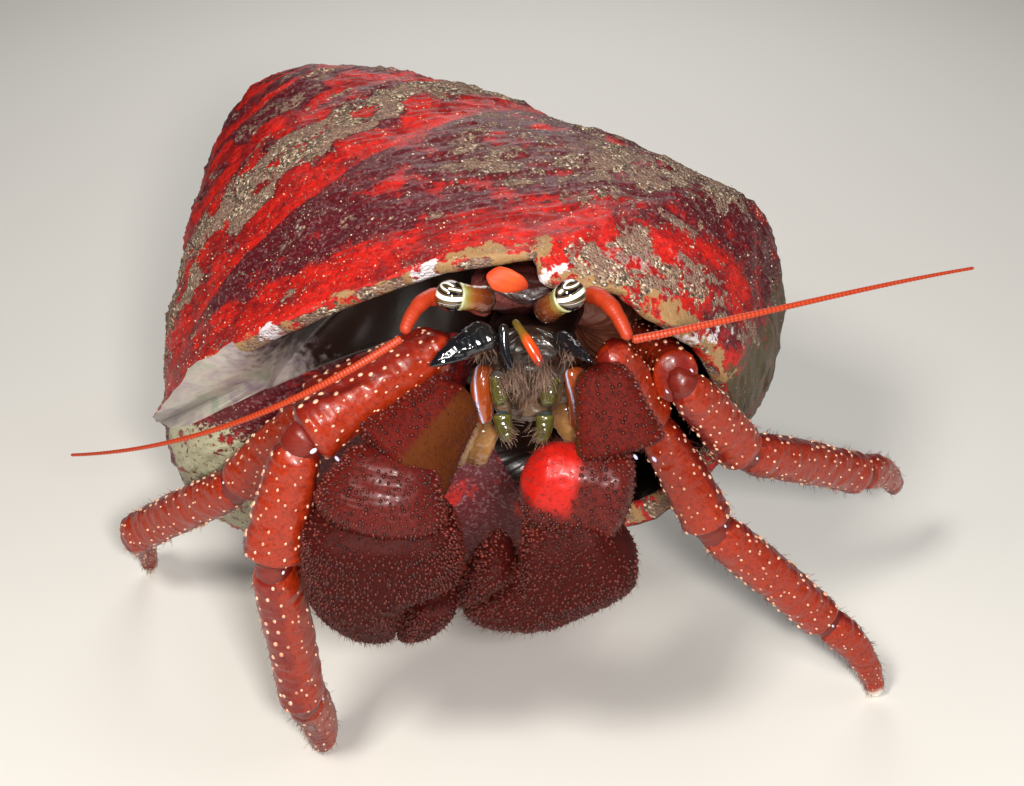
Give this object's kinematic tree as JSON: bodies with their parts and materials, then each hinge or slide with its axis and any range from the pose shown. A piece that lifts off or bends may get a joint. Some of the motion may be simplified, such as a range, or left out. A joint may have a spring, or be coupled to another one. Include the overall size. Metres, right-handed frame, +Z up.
{
  "type": "hermit crab",
  "caption": "Life-size still model of a red, white-spotted hermit crab with equal claws, walking in a worn, red-crusted top shell.",
  "frame": {"origin": "on the floor, under the middle of the whole object's box", "axes": "+Z up, -Y the way the crab faces, +X towards the crab's own left"},
  "size_m": [0.0832, 0.0732, 0.0571],
  "materials": {
    "shell": "matt, crusted with red algae and silt",
    "exoskeleton": "wet gloss, white spots",
    "claw": "granular, satin",
    "antenna": "satin, finely ringed",
    "scale": "gloss",
    "scale_plate": "satin",
    "mouthparts": "satin, bristled",
    "eyestalk": "wet gloss",
    "eye": "polished, striped white",
    "abdomen": "soft, moist"
  },
  "bodies": {
    "root": {"abdomen_front": "abdomen", "abdomen_middle": "abdomen", "abdomen_rear": "abdomen", "acicle_left": "scale", "acicle_right": "scale", "antenna_flagellum_left": "antenna", "antenna_flagellum_right": "antenna", "antenna_peduncle_left": "antenna", "antenna_peduncle_right": "antenna", "antennule_left": "antenna", "antennule_right": "mouthparts", "claw_left_carpus": "claw", "claw_left_dactyl": "claw", "claw_left_ischium": "claw", "claw_left_merus": "claw", "claw_left_palm": "claw", "claw_right_carpus": "claw", "claw_right_dactyl": "claw", "claw_right_ischium": "claw", "claw_right_merus": "claw", "claw_right_palm": "claw", "eye_left": "eye", "eye_right": "eye", "eyestalk_left": "eyestalk", "eyestalk_right": "eyestalk", "fifth_leg_left": "exoskeleton", "fifth_leg_right": "exoskeleton", "fourth_leg_left": "exoskeleton", "fourth_leg_right": "exoskeleton", "mouth_foot_left_lower": "mouthparts", "mouth_foot_left_upper": "mouthparts", "mouth_foot_right_lower": "mouthparts", "mouth_foot_right_upper": "mouthparts", "mouthparts": "mouthparts", "rear_carapace": "exoskeleton", "rostral_plate": "scale_plate", "second_leg_left_carpus": "exoskeleton", "second_leg_left_dactyl": "exoskeleton", "second_leg_left_merus": "exoskeleton", "second_leg_left_propodus": "exoskeleton", "second_leg_right_carpus": "exoskeleton", "second_leg_right_dactyl": "exoskeleton", "second_leg_right_merus": "exoskeleton", "second_leg_right_propodus": "exoskeleton", "shell": "shell", "shield": "exoskeleton", "telson": "abdomen", "third_leg_left_carpus": "exoskeleton", "third_leg_left_dactyl": "exoskeleton", "third_leg_left_merus": "exoskeleton", "third_leg_left_propodus": "exoskeleton", "third_leg_right_carpus": "exoskeleton", "third_leg_right_dactyl": "exoskeleton", "third_leg_right_merus": "exoskeleton", "third_leg_right_propodus": "exoskeleton", "thorax": "exoskeleton", "uropod_left": "abdomen", "uropod_right": "abdomen"}
  },
  "joints": []
}
